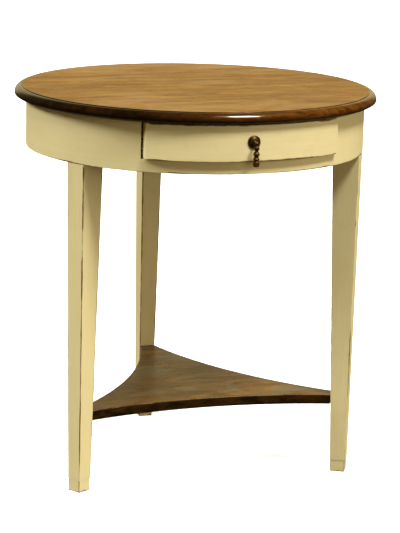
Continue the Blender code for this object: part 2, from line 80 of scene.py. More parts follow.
# a leg's outer face from the axis, its width and its depth
LEG_TOP, LEG_FLOOR = (0.3035, 0.0400, 0.0482), (0.2980, 0.0273, 0.0270)
FOOT_INSET = 0.0005
SHELF_HOLLOW = 0.0317  # how far each side of the shelf curves in
QUIRK_RADIUS, QUIRK_DEPTH = 0.3125, 0.0012
NOSE_DROP = 0.014  # how far below the face the moulding is widest
SOFFIT_RADIUS = 0.311  # of the flat underside, inside the moulding
REDDER_TURN, REDDER_WIDTH = 0.14, 1 / 2.4  # how the moulding turns lighter and redder to the right
HINGE = Vector(frame["joints"][1]["pos_m"])
HINGE_REACH = 0.0135  # how far the hinge stands ahead of the drawer front
PULL = Matrix.Translation(HINGE + Vector((0, HINGE_REACH, 0))) @ Matrix.Rotation(math.pi / 2, 4, "X")
SHANK_HOLE = 0.0023
TAIL_LEVELS = (0.6340, 0.6540)
TAIL_ROOT, TAIL_TIP = 0.0045, 0.0065  # half heights of a dovetail at its root and end
SIDE_SHOULDER, SIDE_LENGTH = 0.3200, 0.3385  # from the rear of a drawer side to its tails' roots and ends
GROOVE_DEPTH = 0.0045
LEG_ANGLES = {"left": -60, "right": 60, "rear": 180}
HAIRLINE = 0.00006  # gap between boards that are glued edge to edge


# ------ camera, light and floor

def about_z(degrees):
    return Matrix.Rotation(math.radians(degrees), 4, "Z")


def direction(azimuth, elevation):
    """A unit vector that points out from the table to this angle round it and above the floor."""
    turn, rise = math.radians(azimuth), math.radians(elevation)
    return Vector((math.sin(turn) * math.cos(rise), -math.cos(turn) * math.cos(rise), math.sin(rise)))


def show(name, data):
    """A new object of the scene."""
    item = bpy.data.objects.new(name, data)
    bpy.context.scene.collection.objects.link(item)
    return item


def make_camera(azimuth=-18.132, distance=3.9426, height=1.2480, heading=-18.359, dip=12.649,
                roll=1.4147, lens=149.13):
    camera = show("camera", bpy.data.cameras.new("camera"))
    camera.data.lens = lens
    place = direction(azimuth, 0) * distance + Vector((0, 0, height))
    back = direction(heading, dip)
    turn = back.to_track_quat("Z", "Y").to_matrix().to_4x4() @ about_z(roll)
    camera.matrix_world = Matrix.Translation(place) @ turn
    bpy.context.scene.camera = camera


NEUTRAL, WARM = (1.0, 1.0, 1.0), (1.0, 0.91, 0.76)
# name: (azimuth, elevation, strength, angle across which it is soft, colour, whether it shows in polish)
LIGHTS = {
    "overhead": (29, 60, 3.90, 15, NEUTRAL, True),
    "left": (-110, 32, 2.75, 18, NEUTRAL, False),
    "left_high": (-50, 60, 1.20, 24, NEUTRAL, False),
    "right": (70, 10, 0.95, 26, WARM, False),
    "front": (10, 10, 0.50, 30, WARM, False),
    "behind": (155, 25, 1.00, 40, NEUTRAL, False),
}
FILL_COLOUR, FILL_STRENGTH = (1.0, 0.72, 0.32), 0.12
WALL_COLOUR, WALL_AZIMUTH, WALL_ELEVATION = (1.0, 0.87, 0.42), 166, 14
WALL_COSINES = (0.84, 0.97)  # of the angle from its middle, where its glow starts and is full
WALL_GLOW = (0.07, 0.65)


def make_lights():
    for name, (azimuth, elevation, strength, softness, colour, glint) in LIGHTS.items():
        data = bpy.data.lights.new(f"light_{name}", "SUN")
        data.energy = strength
        data.color = colour
        data.angle = math.radians(softness)
        light = show(f"light_{name}", data)
        light.rotation_euler = direction(azimuth, elevation).to_track_quat("Z", "Y").to_euler()
        light.visible_glossy = glint
    bpy.context.scene.view_settings.view_transform = "Standard"


def make_world():
    """A dim warm fill, with a pale backdrop beyond the edge of the floor. Polish also mirrors a soft
    bright wall behind the table."""
    world = bpy.data.worlds.new("studio")
    nodes = Nodes(world)
    facing = nodes.add("ShaderNodeVectorMath", {
        0: nodes.coordinates("Generated"),
        1: direction(WALL_AZIMUTH, WALL_ELEVATION),
    }, operation="DOT_PRODUCT")
    glow = nodes.ramp(facing.outputs["Value"], *WALL_COSINES, *WALL_GLOW)
    fill = nodes.tree.nodes["Background"]
    nodes.fill(fill, {"Color": (*FILL_COLOUR, 1.0), "Strength": FILL_STRENGTH})
    wall = nodes.add("ShaderNodeBackground", {"Color": (*WALL_COLOUR, 1.0), "Strength": glow})
    backdrop = nodes.add("ShaderNodeBackground", {"Color": (*NEUTRAL, 1.0)})
    ray = nodes.add("ShaderNodeLightPath", {})
    shown = fill
    for kind, background in (("Is Glossy Ray", wall), ("Is Camera Ray", backdrop)):
        layers = {0: ray.outputs[kind], 1: shown.outputs[0], 2: background.outputs[0]}
        shown = nodes.add("ShaderNodeMixShader", layers)
    nodes.fill(nodes.tree.nodes["World Output"], {"Surface": shown.outputs[0]})
    bpy.context.scene.world = world


def make_floor(reach=30.0):
    bm = bmesh.new()
    bmesh.ops.create_grid(bm, x_segments=8, y_segments=8, size=reach)
    floor = show("floor", new_mesh("floor", bm))
    nodes = new_material("floor")
    floor.data.materials.append(nodes.shade({
        "Base Color": nodes.blend(nodes.noise(nodes.place, 1.5), (0.90, 0.90, 0.89), (0.93, 0.93, 0.92)),
        "Roughness": 0.9,
        "Specular IOR Level": 0.1,
        "Emission Color": (1.0, 1.0, 1.0, 1.0),
        "Emission Strength": 0.70,
    }))
    floor.visible_diffuse = False
    floor.visible_glossy = False


# ------ material tools

class Nodes:
    """A short way to write the nodes of a material or a world. Sockets go in and out of each call."""

    def __init__(self, owner):
        owner.use_nodes = True
        self.owner = owner
        self.tree = owner.node_tree

    def fill(self, node, inputs):
        """Links each socket to the node's input of that name or number, and sets each plain value."""
        for key, value in inputs.items():
            if isinstance(value, bpy.types.NodeSocket):
                self.tree.links.new(value, node.inputs[key])
            else:
                node.inputs[key].default_value = value

    def add(self, kind, inputs, **settings):
        node = self.tree.nodes.new(kind)
        for key, value in settings.items():
            setattr(node, key, value)
        self.fill(node, inputs)
        return node

    def shade(self, inputs):
        """Fills the shader's inputs and gives the finished material."""
        self.fill(self.tree.nodes["Principled BSDF"], inputs)
        return self.owner

    def coordinates(self, output):
        return self.add("ShaderNodeTexCoord", {}).outputs[output]

    def attribute(self, name, output="Fac"):
        return self.add("ShaderNodeAttribute", {}, attribute_name=name).outputs[output]

    def scaled(self, scale, turn=0.0):
        inputs = {"Vector": self.place, "Scale": scale, "Rotation": (0.0, 0.0, turn)}
        return self.add("ShaderNodeMapping", inputs).outputs["Vector"]

    def noise(self, place, scale, detail=3.0, roughness=0.55, distortion=0.0):
        inputs = {"Vector": place, "Scale": scale, "Detail": detail, "Roughness": roughness,
                  "Distortion": distortion}
        return self.add("ShaderNodeTexNoise", inputs).outputs["Fac"]

    def drawn(self, along, across, detail, roughness=0.55, distortion=0.0):
        """Noise drawn out along X, the way the grain runs, where along is less than across."""
        return self.noise(self.scaled((along, across, across)), 1.0, detail, roughness, distortion)

    def math(self, operation, first, second=0.0):
        return self.add("ShaderNodeMath", {0: first, 1: second}, operation=operation).outputs[0]

    def ramp(self, value, start, end, low=0.0, high=1.0):
        """A smooth step from low at start to high at end."""
        inputs = {"Value": value, "From Min": start, "From Max": end, "To Min": low, "To Max": high}
        node = self.add("ShaderNodeMapRange", inputs, interpolation_type="SMOOTHSTEP")
        return node.outputs["Result"]

    def blend(self, factor, first, second):
        """The first colour where the factor is 0 and the second where it is 1."""
        colours = [value if isinstance(value, bpy.types.NodeSocket) else (*value, 1.0)
                   for value in (first, second)]
        node = self.add("ShaderNodeMix", {0: factor, 6: colours[0], 7: colours[1]}, data_type="RGBA")
        return node.outputs[2]

    def tinted(self, base, *tints):
        """Lays colours over a base. A tint is (field, cover, colour), where cover is the most that it
        hides, or (field, start, end, cover, colour), which grows from start to end."""
        for field, *limits, cover, colour in tints:
            part = self.ramp(field, *limits, 0.0, cover) if limits else self.math("MULTIPLY", field, cover)
            base = self.blend(part, base, colour)
        return base

    def bump(self, height, depth, normal=None):
        """Relief of this depth in metres where the height goes from 0 to 1."""
        inputs = {"Height": height, "Distance": depth, "Strength": 1.0}
        if normal:
            inputs["Normal"] = normal
        return self.add("ShaderNodeBump", inputs).outputs["Normal"]

    def grain_fields(self, ring=26.0):
        """Figure, streaks, fibres and pores of wood whose grain runs along X of the place."""
        warp = self.drawn(1.5, 7.0, 2.0, 0.5)
        across = self.add("ShaderNodeSeparateXYZ", {0: self.place}).outputs["Y"]
        phase = self.math("ADD", self.math("MULTIPLY", across, ring * 6.0), self.math("MULTIPLY", warp, ring))
        figure = self.math("ADD", self.math("MULTIPLY", self.math("SINE", phase), 0.5), 0.5)
        streaks = self.drawn(4.0, 62.0, 4.0, 0.6, 0.3)
        fibres = self.drawn(22.0, 620.0, 4.0, 0.65)
        pores = self.ramp(self.drawn(60.0, 1500.0, 2.0, 0.5), 0.60, 0.70)
        return figure, streaks, fibres, pores


def new_material(name, attribute=None):
    """The nodes of a new material, placed by a stored attribute, or else along the piece's own axes."""
    nodes = Nodes(bpy.data.materials.new(name))
    nodes.place = nodes.attribute(attribute, "Vector") if attribute else nodes.coordinates("Object")
    return nodes


# ------ materials

def paint_material():
    """Cream paint with brush marks along the wood, rubbed through to brown on the arrises.
    Where the inside attribute is 1 the wood is bare."""
    nodes = new_material("cream_paint", "grain")
    arris = nodes.attribute("arris")
    patches = nodes.noise(nodes.place, 7.0, 4.0)
    brush = nodes.drawn(14.0, 380.0, 4.0, 0.6)
    cloud = nodes.noise(nodes.place, 38.0, 5.0, 0.65)

    # antique glaze that stays in a soft band along each arris
    glaze = nodes.math("MULTIPLY", nodes.ramp(arris, 0.15, 0.95), nodes.ramp(cloud, 0.3, 0.65, 0.2, 1.0))
    cream = nodes.tinted(
        nodes.blend(patches, (0.745, 0.633, 0.312), (0.83, 0.72, 0.38)),
        (brush, 0.3, 0.75, 0.16, (0.6, 0.46, 0.18)),
        (cloud, 0.52, 0.78, 0.2, (0.62, 0.48, 0.2)),
        (glaze, 0.42, (0.36, 0.25, 0.1)),
    )

    # rubbed line, broken along its length into long and short stretches
    rub = nodes.drawn(30.0, 160.0, 5.0, 0.7)
    stretch = nodes.drawn(9.0, 40.0, 3.0, 0.6)
    reach = nodes.math("ADD", arris, nodes.math("SUBTRACT", rub, 0.5))
    reach = nodes.math("ADD", reach, nodes.ramp(stretch, 0.35, 0.65, -0.3, 0.2))
    worn = nodes.ramp(reach, 0.44, 0.6)

    # a few small chips and flecks on the faces
    flecks = nodes.add("ShaderNodeTexVoronoi", {"Vector": nodes.place, "Scale": 46.0})
    rare = nodes.ramp(nodes.noise(nodes.place, 21.0, 2.0), 0.6, 0.66)
    fleck = nodes.math("MULTIPLY", nodes.ramp(flecks.outputs["Distance"], 0.055, 0.03), rare)
    bare = nodes.math("MAXIMUM", worn, nodes.math("MULTIPLY", fleck, 0.8))

    wood = nodes.blend(brush, (0.095, 0.042, 0.012), (0.21, 0.112, 0.038))
    painted = nodes.blend(nodes.math("MULTIPLY", bare, 0.92), cream, wood)
    pale = nodes.blend(nodes.ramp(brush, 0.3, 0.72), (0.33, 0.2, 0.09), (0.5, 0.33, 0.16))
    dull = nodes.math("ADD", cloud, nodes.math("MULTIPLY", bare, 0.4))
    relief = nodes.bump(brush, 0.00012)
    return nodes.shade({
        "Base Color": nodes.blend(nodes.attribute("inside"), painted, pale),
        "Roughness": nodes.ramp(dull, 0.2, 1.1, 0.4, 0.72),
        "Normal": nodes.bump(nodes.math("SUBTRACT", 1.0, bare), 0.00018, relief),
        "Specular IOR Level": 0.42,
    })


def top_material():
    """Honey-brown waxed boards. The moulded edge is stained nearly black, lighter and redder on the right,
    and darkened low down as painted shade.
    """
    nodes = new_material("stained_top", "grain")
    edge = nodes.attribute("moulding")
    under = nodes.attribute("under")
    figure, streaks, fibres, pores = nodes.grain_fields()
    broad = nodes.drawn(7.0, 34.0, 4.0, 0.62, 0.6)
    short = nodes.drawn(15.0, 105.0, 4.0, 0.62, 0.5)
    mottle = nodes.drawn(22.0, 42.0, 5.0, 0.68)
    bleached = nodes.drawn(3.2, 6.5, 4.0, 0.6, 0.4)
    honey = nodes.tinted(
        nodes.blend(nodes.ramp(streaks, 0.3, 0.7), (0.134, 0.058, 0.009), (0.204, 0.101, 0.018)),
        (figure, 0.55, 1.0, 0.3, (0.125, 0.051, 0.01)),
        (broad, 0.5, 0.64, 0.7, (0.266, 0.135, 0.024)),
        (broad, 0.46, 0.32, 0.6, (0.114, 0.045, 0.009)),
        (short, 0.54, 0.68, 0.55, (0.281, 0.151, 0.032)),
        (short, 0.43, 0.3, 0.65, (0.091, 0.037, 0.008)),
        (mottle, 0.55, 0.72, 0.45, (0.099, 0.041, 0.007)),
        (bleached, 0.5, 0.68, 0.55, (0.266, 0.154, 0.051)),
        (fibres, 0.35, 0.75, 0.25, (0.099, 0.041, 0.009)),
        (pores, 0.45, (0.053, 0.02, 0.006)),
    )

    black = nodes.blend(nodes.ramp(streaks, 0.34, 0.7), (0.004, 0.0016, 0.0004), (0.017, 0.0062, 0.0012))
    red = nodes.blend(nodes.ramp(short, 0.34, 0.68), (0.05, 0.015, 0.0016), (0.135, 0.046, 0.0044))
    dark = nodes.tinted(
        nodes.blend(nodes.attribute("faded"), black, red),
        (fibres, 0.4, 0.8, 0.35, (0.006, 0.0028, 0.001)),
        # painted shade: the lower part of the moulding, which faces the floor, is darkened
        (under, 0.85, (0.0022, 0.0009, 0.0003)),
    )

    scuffs = nodes.noise(nodes.place, 60.0, 4.0, 0.7)
    satin = nodes.ramp(scuffs, 0.25, 0.8, 0.42, 0.56)
    polish = nodes.ramp(scuffs, 0.25, 0.8, 0.11, 0.22)
    gloss = nodes.math("ADD", nodes.math("MULTIPLY", satin, nodes.math("SUBTRACT", 1.0, edge)),
                       nodes.math("MULTIPLY", polish, edge))
    relief = nodes.bump(nodes.math("SUBTRACT", fibres, nodes.math("MULTIPLY", pores, 0.8)), 0.00006)
    return nodes.shade({
        "Base Color": nodes.blend(nodes.ramp(edge, 0.3, 0.75), honey, dark),
        "Roughness": nodes.math("ADD", gloss, nodes.math("MULTIPLY", under, 0.3)),
        "Normal": nodes.bump(streaks, 0.00008, relief),
        "Coat Weight": nodes.ramp(nodes.math("SUBTRACT", edge, under), 0.8, 1.0, 0.0, 0.55),
        "Coat Roughness": 0.09,
        "Specular IOR Level": 0.25,
        "Specular Tint": (1.0, 0.55, 0.25, 1.0),
    })


def shelf_material():
    """Dark brown stain, worn lighter and greyer on the face than on the edges, with painted shade darkening
    it towards the left.
    """
    nodes = new_material("dark_shelf", "grain")
    figure, streaks, fibres, pores = nodes.grain_fields(20.0)
    broad = nodes.drawn(9.0, 26.0, 4.0, 0.62, 0.6)
    short = nodes.drawn(18.0, 80.0, 4.0, 0.62, 0.5)
    bloom = nodes.drawn(9.0, 17.0, 4.0, 0.65)
    brown = nodes.tinted(
        nodes.blend(nodes.ramp(streaks, 0.28, 0.75), (0.07, 0.027, 0.004), (0.151, 0.065, 0.01)),
        (figure, 0.6, 1.0, 0.35, (0.059, 0.024, 0.004)),
        (broad, 0.5, 0.64, 0.75, (0.221, 0.099, 0.016)),
        (broad, 0.49, 0.36, 0.8, (0.034, 0.012, 0.001)),
        (short, 0.43, 0.3, 0.6, (0.046, 0.017, 0.002)),
        (bloom, 0.5, 0.62, 0.7, (0.105, 0.088, 0.048)),
        # painted shade: darker towards the left of the shelf
        (nodes.attribute("deep"), 0.85, (0.046, 0.017, 0.002)),
        (fibres, 0.35, 0.75, 0.3, (0.044, 0.017, 0.003)),
        (pores, 0.5, (0.022, 0.008, 0.001)),
    )
    dark = nodes.blend(nodes.ramp(short, 0.35, 0.65), (0.006, 0.0032, 0.001), (0.036, 0.015, 0.003))
    brown = nodes.blend(nodes.attribute("side"), brown, dark)
    rub = nodes.drawn(30.0, 90.0, 4.0, 0.7)
    reach = nodes.math("ADD", nodes.attribute("arris"),
                       nodes.math("MULTIPLY", nodes.math("SUBTRACT", rub, 0.5), 0.9))
    relief = nodes.bump(nodes.math("SUBTRACT", fibres, pores), 0.00008)
    return nodes.shade({
        "Base Color": nodes.tinted(brown, (reach, 0.72, 0.98, 0.65, (0.3, 0.15, 0.04))),
        "Roughness": nodes.ramp(rub, 0.2, 0.8, 0.24, 0.4),
        "Normal": nodes.bump(streaks, 0.0001, relief),
        "Specular IOR Level": 0.25,
        "Specular Tint": (1.0, 0.75, 0.45, 1.0),
    })


def bare_wood_material(name, turn=0.0):
    """Unfinished inside wood. turn is the angle of its grain from +X about the vertical."""
    nodes = new_material(name)
    dust = nodes.noise(nodes.place, 12.0, 4.0, 0.65)
    nodes.place = nodes.scaled((1.0, 1.0, 1.0), turn)
    figure, streaks, fibres, pores = nodes.grain_fields(30.0)
    wood = nodes.tinted(
        nodes.blend(nodes.ramp(streaks, 0.25, 0.78), (0.4, 0.255, 0.125), (0.585, 0.405, 0.215)),
        (figure, 0.55, 1.0, 0.4, (0.39, 0.225, 0.095)),
        (fibres, 0.35, 0.75, 0.3, (0.35, 0.21, 0.1)),
        (pores, 0.35, (0.22, 0.12, 0.055)),
        (dust, 0.5, 0.78, 0.35, (0.26, 0.18, 0.105)),
    )
    relief = nodes.bump(nodes.math("SUBTRACT", fibres, pores), 0.00015)
    return nodes.shade({
        "Base Color": wood,
        "Roughness": nodes.ramp(fibres, 0.2, 0.8, 0.62, 0.82),
        "Normal": nodes.bump(streaks, 0.0001, relief),
        "Specular IOR Level": 0.3,
    })


def brass_material():
    """Old brass gone dark brown, rubbed brighter on its high places."""
    nodes = new_material("aged_brass")
    high_places = nodes.attribute("rub")
    tarnish = nodes.noise(nodes.place, 420.0, 5.0, 0.65)
    clouds = nodes.noise(nodes.place, 130.0, 3.0, 0.6)
    shine = nodes.math("MULTIPLY", high_places, nodes.ramp(tarnish, 0.28, 0.62, 0.35, 1.0))
    grime = nodes.math("MULTIPLY", nodes.ramp(tarnish, 0.5, 0.72), nodes.math("SUBTRACT", 1.0, high_places))
    metal = nodes.tinted(
        nodes.blend(nodes.ramp(clouds, 0.3, 0.7), (0.055, 0.025, 0.006), (0.14, 0.072, 0.018)),
        (shine, 0.75, (0.31, 0.17, 0.048)),
        (grime, 0.8, (0.03, 0.016, 0.009)),
    )
    return nodes.shade({
        "Base Color": metal,
        "Roughness": nodes.ramp(tarnish, 0.25, 0.8, 0.3, 0.62),
        "Metallic": nodes.ramp(grime, 0.0, 1.0, 0.95, 0.45),
        "Normal": nodes.bump(tarnish, 0.00006),
    })


def steel_material():
    """Plain screw steel with a little rust."""
    nodes = new_material("screw_steel")
    scratches = nodes.noise(nodes.scaled((300.0, 2600.0, 300.0)), 1.0)
    spots = nodes.noise(nodes.place, 300.0, 5.0, 0.7)
    rust = nodes.ramp(spots, 0.54, 0.68)
    steel = nodes.blend(scratches, (0.3, 0.29, 0.275), (0.47, 0.46, 0.44))
    return nodes.shade({
        "Base Color": nodes.tinted(steel, (rust, 0.8, (0.15, 0.06, 0.022))),
        "Roughness": nodes.ramp(spots, 0.3, 0.7, 0.3, 0.7),
        "Metallic": nodes.ramp(rust, 0.0, 1.0, 1.0, 0.2),
        "Normal": nodes.bump(spots, 0.00004),
    })


# ------ mesh tools

def add_piece(name, mesh, material, node, body="table_frame"):
    """Shows a mesh in place of a CAD node of the frame."""
    mesh.materials.clear()
    mesh.materials.append(material)
    mesh.shade_smooth()
    mesh.set_sharp_from_angle(angle=math.radians(32))
    piece = show(name, mesh)
    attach(piece, body)
    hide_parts(node)


def add_painted(node, mesh, material, body="table_frame"):
    add_piece(f"{node}_painted", mesh, material, node, body)


def store(mesh, name, values):
    """Keeps a number or a vector for each vertex, under a name that the materials read."""
    kind, key = "FLOAT", "value"
    if isinstance(values[0], Vector):
        kind, key, values = "FLOAT_VECTOR", "vector", [c for value in values for c in value]
    mesh.attributes.new(name, kind, "POINT").data.foreach_set(key, values)


def rise(value, start, end):
    """0 up to start, 1 from end on, and in proportion between them."""
    return min(max((value - start) / (end - start), 0.0), 1.0)


def grain_start(name):
    """Where in the wood a piece is cut from, so that no two pieces look the same."""
    source = random.Random(name)
    return Vector([source.uniform(-3, 3) for axis in range(3)])


def new_mesh(name, bm):
    mesh = bpy.data.meshes.new(name)
    bm.to_mesh(mesh)
    bm.free()
    return mesh


def close_mesh(name, bm):
    bmesh.ops.remove_doubles(bm, verts=bm.verts, dist=1e-6)
    bmesh.ops.recalc_face_normals(bm, faces=bm.faces)
    return new_mesh(name, bm)


def skin(bm, loops):
    """Faces between each loop of vertices and the next. A loop of one vertex is a pole."""
    for upper, lower in zip(loops, loops[1:]):
        count = max(len(upper), len(lower))
        for i in range(count):
            j = (i + 1) % count
            corners = [upper[i % len(upper)], upper[j % len(upper)],
                       lower[j % len(lower)], lower[i % len(lower)]]
            bm.faces.new(list(dict.fromkeys(corners)))


ARRIS_FADE = 0.0042  # how far from an arris its wear reaches
ROUND_TURNS = (45, 30, 15, 0)  # where the rows of vertices lie round half of an arris, in degrees
EDGE_ROWS = (0.0007, 0.0016, 0.0030, 0.0055)  # and how far past the rounding
APRON_ROUNDING, LEG_ROUNDING = 0.0010, 0.0011
APRON_SPACING, LEG_SPACING = (0.0045, 0.006, 0.0065), (0.007, 0.007, 0.006)  # between rows elsewhere


def stations(length, rounding, spacing, square):
    """Places along one side of a block, closest where its ends are rounded.
    square says which of its two ends, 0 and 1, are left square."""
    ends = []
    for end in (0, 1):
        near = [0.0]
        if end not in square:
            near = [rounding * (1 - math.tan(math.radians(turn))) for turn in ROUND_TURNS]
            near += [rounding + row for row in EDGE_ROWS if rounding + row < length * 0.45]
        ends.append(near)
    first, last = ends[0], [length - value for value in reversed(ends[1])]
    span = last[0] - first[-1]
    count = max(1, round(span / spacing))
    return first + [first[-1] + span * i / count for i in range(1, count)] + last


def rounded_block(node, size, rounding, spacing, place, square, wear, along=0, flush=lambda point: ()):
    """A closed painted block with rounded arrises, bent from its own box into place by place(point).

    Each end of a side that square names stays square and unworn, and so does each end of the
    first side that flush(point) names, at that point. wear(point) scales the wear of an arris at
    a placed point. along is the side that the grain follows.
    """
    grid = [stations(size[axis], rounding, spacing[axis], square[axis]) for axis in range(3)]
    bm = bmesh.new()
    name = f"{node}_painted"
    start = grain_start(name)
    found, arrises, grains = {}, [], []

    def vertex(index):
        if index in found:
            return found[index]
        point = Vector(grid[axis][index[axis]] for axis in range(3))
        core = point.copy()
        reaches = []
        crisp = ((*square[0], *flush(point)), square[1], square[2])
        for axis in range(3):
            ease = [-math.inf if end in crisp[axis] else rounding for end in (0, 1)]
            core[axis] = min(max(point[axis], ease[0]), size[axis] - ease[1])
            away = (point[axis], size[axis] - point[axis])
            reaches.append(min(math.inf if end in crisp[axis] else away[end] for end in (0, 1)))
        offset = point - core
        fade = max(0.0, 1 - sorted(reaches)[1] / ARRIS_FADE)
        grain = start + Vector((point[along], point[(along + 1) % 3], point[(along + 2) % 3]))
        if offset.length > 0:
            dent = 0.30 * fade * abs(noise.noise(grain * 45)) + 0.10 * fade * abs(noise.noise(grain * 160))
            offset = offset.normalized() * max(abs(value) for value in offset) * (1 - dent)
        placed = place(core + offset)
        arrises.append(fade * wear(placed))
        grains.append(grain)
        found[index] = bm.verts.new(placed)
        return found[index]

    last = [len(line) - 1 for line in grid]
    for axis in range(3):
        u, v = (axis + 1) % 3, (axis + 2) % 3
        for end in (0, last[axis]):
            for i in range(last[u]):
                for j in range(last[v]):
                    corners = []
                    for di, dj in ((0, 0), (1, 0), (1, 1), (0, 1)):
                        index = [0, 0, 0]
                        index[axis], index[u], index[v] = end, i + di, j + dj
                        corners.append(vertex(tuple(index)))
                    bm.faces.new(corners)
    bmesh.ops.recalc_face_normals(bm, faces=bm.faces)
    mesh = new_mesh(name, bm)
    store(mesh, "arris", arrises)
    store(mesh, "grain", grains)
    return mesh


def lathe_mesh(name, profile, steps, matrix=Matrix.Identity(4), closed=False):
    """A profile of (radius, height) points turned about Z. A closed profile makes a ring."""
    bm = bmesh.new()
    turns = [math.tau * i / steps for i in range(steps)]
    rings = []
    for radius, height in profile:
        around = turns if radius > 1e-7 else [0]
        rings.append([bm.verts.new((radius * math.cos(turn), radius * math.sin(turn), height))
                      for turn in around])
    skin(bm, rings + rings[:1] if closed else rings)
    bm.transform(matrix)
    return close_mesh(name, bm)


def cylinder_mesh(name, radius, bottom, top, steps, matrix=Matrix.Identity(4)):
    return lathe_mesh(name, [(0, top), (radius, top), (radius, bottom), (0, bottom)], steps, matrix)


def boolean_mesh(mesh, operation, cutters):
    """The mesh after a boolean with each cutter mesh, with its attributes kept."""
    target = show("boolean_target", mesh)
    helpers = [show("boolean_cutter", cutter) for cutter in cutters]
    for helper in helpers:
        modifier = target.modifiers.new("boolean", "BOOLEAN")
        modifier.operation = operation
        modifier.object = helper
        modifier.solver = "EXACT"
    graph = bpy.context.evaluated_depsgraph_get()
    result = bpy.data.meshes.new_from_object(target.evaluated_get(graph))
    result.name = mesh.name
    for helper in helpers + [target]:
        bpy.data.objects.remove(helper)
    return result


# ------ top

def arc(centre, across, along, start, end, count):
    """(radius, height) points of an ellipse, from start to end degrees above the horizontal."""
    turns = [math.radians(start + (end - start) * i / count) for i in range(count + 1)]
    return [(centre[0] + across * math.cos(turn), centre[1] + along * math.sin(turn)) for turn in turns]


def top_profile():
    """From the centre of the face, over the quirk and the ovolo, to the centre of the underside."""
    nose = HEIGHT - NOSE_DROP
    lip = 0.0006
    across = TOP_RADIUS - QUIRK_RADIUS
    face = [(radius, HEIGHT) for radius in (0.0, 0.1, 0.2, 0.28, 0.3, 0.308, QUIRK_RADIUS - 0.0018)]
    edge = arc((QUIRK_RADIUS - lip, HEIGHT - lip), lip, lip, 90, 0, 4)
    quirk_floor = HEIGHT - QUIRK_DEPTH
    ovolo = arc((QUIRK_RADIUS + 0.0004, nose), across - 0.0004, quirk_floor - nose, 88, 0, 16)
    under = arc((SOFFIT_RADIUS, nose), TOP_RADIUS - SOFFIT_RADIUS,
                     nose - UNDERSIDE - 0.0008, 0, -62, 9)[1:]
    foot = [(SOFFIT_RADIUS + 0.003, UNDERSIDE + 0.0002), (SOFFIT_RADIUS, UNDERSIDE)]
    flat = [(radius, UNDERSIDE) for radius in (0.3, 0.2, 0.1, 0.0)]
    return face + edge + [(QUIRK_RADIUS, quirk_floor + 0.0001)] + ovolo + under + foot + flat


def top_fields(point):
    """What the top's material reads at a point. moulding is 1 on the dark edge and the quirk; the value that
    makes the moulding lighter and redder goes from 0 at the left of the drawer to 1 at the right; and under
    is 1 low on the moulding, where it paints shade."""
    radius = math.hypot(point.x, point.y)
    azimuth = math.atan2(point.x, -point.y)
    moulding = 1.0
    if point.z < UNDERSIDE + 0.0001:
        moulding = rise(radius, SOFFIT_RADIUS - 0.012, SOFFIT_RADIUS - 0.002)
    elif point.z > HEIGHT - 0.0004:
        moulding = rise(radius, QUIRK_RADIUS - 0.003, QUIRK_RADIUS)
    return {"moulding": moulding,
            "faded": rise(math.sin(azimuth + REDDER_TURN), -REDDER_WIDTH, REDDER_WIDTH),
            "under": rise(point.z, HEIGHT - 0.009, HEIGHT - 0.016)}


def add_boards(whole, names, material, fields):
    """Cuts a mesh across Y into one board for each node, where the nodes meet, and shows the boards.
    fields(point) gives the values that the material reads there, by name."""
    limits = [-math.inf] + [high(name).y for name in names[:-1]] + [math.inf]
    for name, front, rear in zip(names, limits, limits[1:]):
        bm = bmesh.new()
        bm.from_mesh(whole)
        for y, way in ((front + HAIRLINE / 2, -1), (rear - HAIRLINE / 2, 1)):
            if math.isinf(y):
                continue
            everything = bm.verts[:] + bm.edges[:] + bm.faces[:]
            bmesh.ops.bisect_plane(bm, geom=everything, dist=1e-7, plane_co=(0, y, 0),
                                   plane_no=(0, way, 0), clear_outer=True)
            rim = [edge for edge in bm.edges if edge.is_boundary]
            bmesh.ops.contextual_create(bm, geom=rim)
        mesh = close_mesh(name, bm)
        start = grain_start(name)
        values = [fields(v.co) for v in mesh.vertices]
        for field in values[0]:
            store(mesh, field, [value[field] for value in values])
        store(mesh, "grain", [start + v.co for v in mesh.vertices])
        add_piece(f"{name}_worked", mesh, material, name)


def make_top(material):
    names = [f"top_board_{place}" for place in ("front", "mid_front", "middle", "mid_back", "back")]
    add_boards(lathe_mesh("whole_top", top_profile(), 480), names, material, top_fields)


# ------ apron, rail and drawer front

def at_angle(degrees, way):
    """An end along a radius of the table, half a hairline past it (way 1) or short of it (way -1)."""
    return lambda radius: math.radians(degrees) + way * HAIRLINE / 2 / radius


def at_x(x):
    """An end that lies in a plane across X."""
    return lambda radius: math.asin(x / radius)


def ring_piece(node, start, end, bottom, top, thickness, wear, square=(), shift=(0.0, 0.0),
               flush=lambda point: ()):
    """A rounded block bent into the apron's ring. start and end give the angle of each end at a radius,
    and shift moves the ring along X and Y."""
    length = (end(APRON_RADIUS) - start(APRON_RADIUS)) * APRON_RADIUS

    def place(point):
        radius = APRON_RADIUS - point.y
        angle = start(radius) + (end(radius) - start(radius)) * (point.x / length)
        return Vector((radius * math.sin(angle) + shift[0], -radius * math.cos(angle) + shift[1],
                       bottom + point.z))

    size = (length, thickness, top - bottom)
    mesh = rounded_block(node, size, APRON_ROUNDING, APRON_SPACING, place, (square, (), ()), wear,
                         flush=flush)
    inner = APRON_RADIUS - thickness + 0.0003  # just outside the inner face
    radii = [math.hypot(v.co.x - shift[0], v.co.y - shift[1]) for v in mesh.vertices]
    store(mesh, "inside", [float(radius < inner) for radius in radii])
    return mesh


def apron_wear(point):
    """The lower arris is rubbed, and the upper one lies under the top."""
    patchy = 0.72 + 0.55 * noise.noise(point * 11)
    return patchy if point.z < APRON_BOTTOM + 0.02 else 0.3


def drawer_wear(point):
    """Its level arrises are rubbed in patches, and the upright ones at its ends hardly at all."""
    near_end = abs(point.x - DRAWER_SIDEWAYS) > FRONT_HALF - 0.004
    return 0.2 if near_end else 0.6 + 0.5 * noise.noise(point * 14 + Vector((3, 1, 5)))


